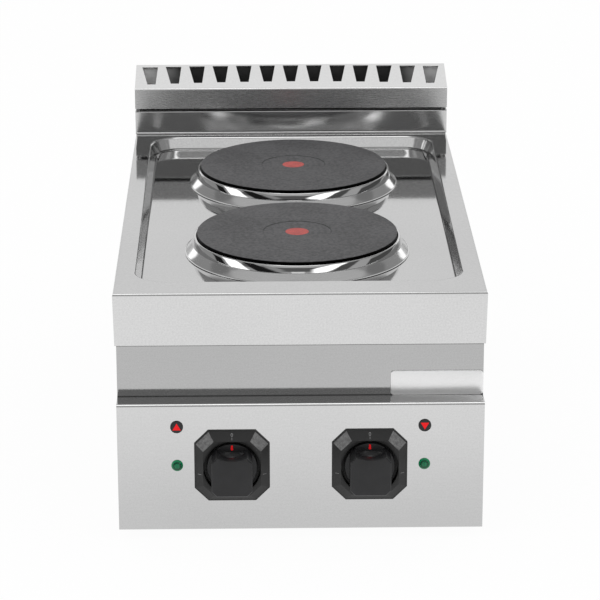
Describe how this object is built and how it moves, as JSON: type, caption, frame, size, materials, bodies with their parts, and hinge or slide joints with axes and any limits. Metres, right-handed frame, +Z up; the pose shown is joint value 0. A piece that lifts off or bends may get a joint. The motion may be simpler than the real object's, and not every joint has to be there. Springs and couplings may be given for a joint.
{
  "type": "electric tabletop cooker",
  "caption": "Tabletop electric cooker with cast-iron plates in a pressed steel well, a rear vent riser, rotary switches, indicator lamps and levelling feet.",
  "frame": {"origin": "on the surface that the feet stand on, in the middle of the width and of the whole depth from the knob faces to the mouth of the gland", "axes": "+X to the right as the user faces it, +Y from the front to the back, +Z up"},
  "size_m": [0.3298, 0.6506, 0.2896],
  "materials": {
    "polished_steel": "polished",
    "brushed_steel": "fine brushed",
    "cast_iron": "matte machined",
    "gasket": "woven glass fibre",
    "ceramic": "unglazed ceramic, density stood in for by a moulded material",
    "coil_wire": "oxidised resistance wire",
    "plated_steel": "zinc plated",
    "black_plastic": "satin moulded",
    "red_marking": "gloss inlay",
    "phenolic": "moulded",
    "ivory_plastic": "moulded",
    "green_lens": "ribbed translucent",
    "brass": "plain",
    "wire_insulation": "silicone"
  },
  "bodies": {
    "chassis": {"worktop": "polished_steel", "base_tray": "brushed_steel", "left_side_panel": "brushed_steel", "right_side_panel": "brushed_steel", "rear_panel": "brushed_steel", "recess_panel": "brushed_steel", "control_panel": "brushed_steel", "badge_plate": "polished_steel", "riser_lower": "brushed_steel", "riser_cap": "brushed_steel", "heat_shield": "brushed_steel", "front_plate_casting": "cast_iron", "front_overflow_ring": "polished_steel", "front_plate_gasket": "gasket", "front_ceramic_filling": "ceramic", "front_heating_coil": "coil_wire", "front_cover_pan": "plated_steel", "front_clamp_bar": "plated_steel", "front_terminal_block": "ceramic", "rear_plate_casting": "cast_iron", "rear_overflow_ring": "polished_steel", "rear_plate_gasket": "gasket", "rear_ceramic_filling": "ceramic", "rear_heating_coil": "coil_wire", "rear_cover_pan": "plated_steel", "rear_clamp_bar": "plated_steel", "rear_terminal_block": "ceramic", "clamp_studs": "plated_steel", "clamp_nuts": "plated_steel", "left_bezel": "black_plastic", "left_switch_housing": "phenolic", "left_lamp_lens": "green_lens", "left_lamp_body": "ivory_plastic", "right_bezel": "black_plastic", "right_switch_housing": "phenolic", "right_lamp_lens": "green_lens", "right_lamp_body": "ivory_plastic", "marker_plugs": "black_plastic", "marker_triangles": "red_marking", "mains_terminal_block": "ivory_plastic", "cable_gland": "black_plastic", "bonding_stud": "brass", "wiring": "wire_insulation", "foot_nuts": "plated_steel"},
    "left_knob_set": {"left_knob": "black_plastic", "left_pointer": "red_marking", "left_spindle": "plated_steel", "left_cam_drum": "ivory_plastic"},
    "right_knob_set": {"right_knob": "black_plastic", "right_pointer": "red_marking", "right_spindle": "plated_steel", "right_cam_drum": "ivory_plastic"},
    "front_left_pad": {"front_left_foot_pad": "black_plastic"},
    "front_left_stud": {"front_left_foot_stud": "plated_steel"},
    "front_right_pad": {"front_right_foot_pad": "black_plastic"},
    "front_right_stud": {"front_right_foot_stud": "plated_steel"},
    "rear_left_pad": {"rear_left_foot_pad": "black_plastic"},
    "rear_left_stud": {"rear_left_foot_stud": "plated_steel"},
    "rear_right_pad": {"rear_right_foot_pad": "black_plastic"},
    "rear_right_stud": {"rear_right_foot_stud": "plated_steel"}
  },
  "joints": [
    {"name": "left_knob_turn", "type": "hinge", "parent": "chassis", "child": "left_knob_set", "pos_m": [-0.061, -0.31035, 0.0725], "axis": [0, 1, 0], "continuous": true},
    {"name": "right_knob_turn", "type": "hinge", "parent": "chassis", "child": "right_knob_set", "pos_m": [0.061, -0.31035, 0.0725], "axis": [0, 1, 0], "continuous": true},
    {"name": "front_left_foot_travel", "type": "slide", "parent": "chassis", "child": "front_left_pad", "axis": [0, 0, -1], "range_m": [0, 0.01]},
    {"name": "front_left_foot_screw", "type": "hinge", "parent": "front_left_pad", "child": "front_left_stud", "pos_m": [-0.125, -0.23085, 0.008], "axis": [0, 0, 1], "range_deg": [0, 2880]},
    {"name": "front_right_foot_travel", "type": "slide", "parent": "chassis", "child": "front_right_pad", "axis": [0, 0, -1], "range_m": [0, 0.01]},
    {"name": "front_right_foot_screw", "type": "hinge", "parent": "front_right_pad", "child": "front_right_stud", "pos_m": [0.125, -0.23085, 0.008], "axis": [0, 0, 1], "range_deg": [0, 2880]},
    {"name": "rear_left_foot_travel", "type": "slide", "parent": "chassis", "child": "rear_left_pad", "axis": [0, 0, -1], "range_m": [0, 0.01]},
    {"name": "rear_left_foot_screw", "type": "hinge", "parent": "rear_left_pad", "child": "rear_left_stud", "pos_m": [-0.125, 0.26415, 0.008], "axis": [0, 0, 1], "range_deg": [0, 2880]},
    {"name": "rear_right_foot_travel", "type": "slide", "parent": "chassis", "child": "rear_right_pad", "axis": [0, 0, -1], "range_m": [0, 0.01]},
    {"name": "rear_right_foot_screw", "type": "hinge", "parent": "rear_right_pad", "child": "rear_right_stud", "pos_m": [0.125, 0.26415, 0.008], "axis": [0, 0, 1], "range_deg": [0, 2880]}
  ],
  "couplings": [
    {"joint": "front_left_foot_travel", "follows": "front_left_foot_screw", "m_per_rad": 0.00019894},
    {"joint": "front_right_foot_travel", "follows": "front_right_foot_screw", "m_per_rad": 0.00019894},
    {"joint": "rear_left_foot_travel", "follows": "rear_left_foot_screw", "m_per_rad": 0.00019894},
    {"joint": "rear_right_foot_travel", "follows": "rear_right_foot_screw", "m_per_rad": 0.00019894}
  ]
}
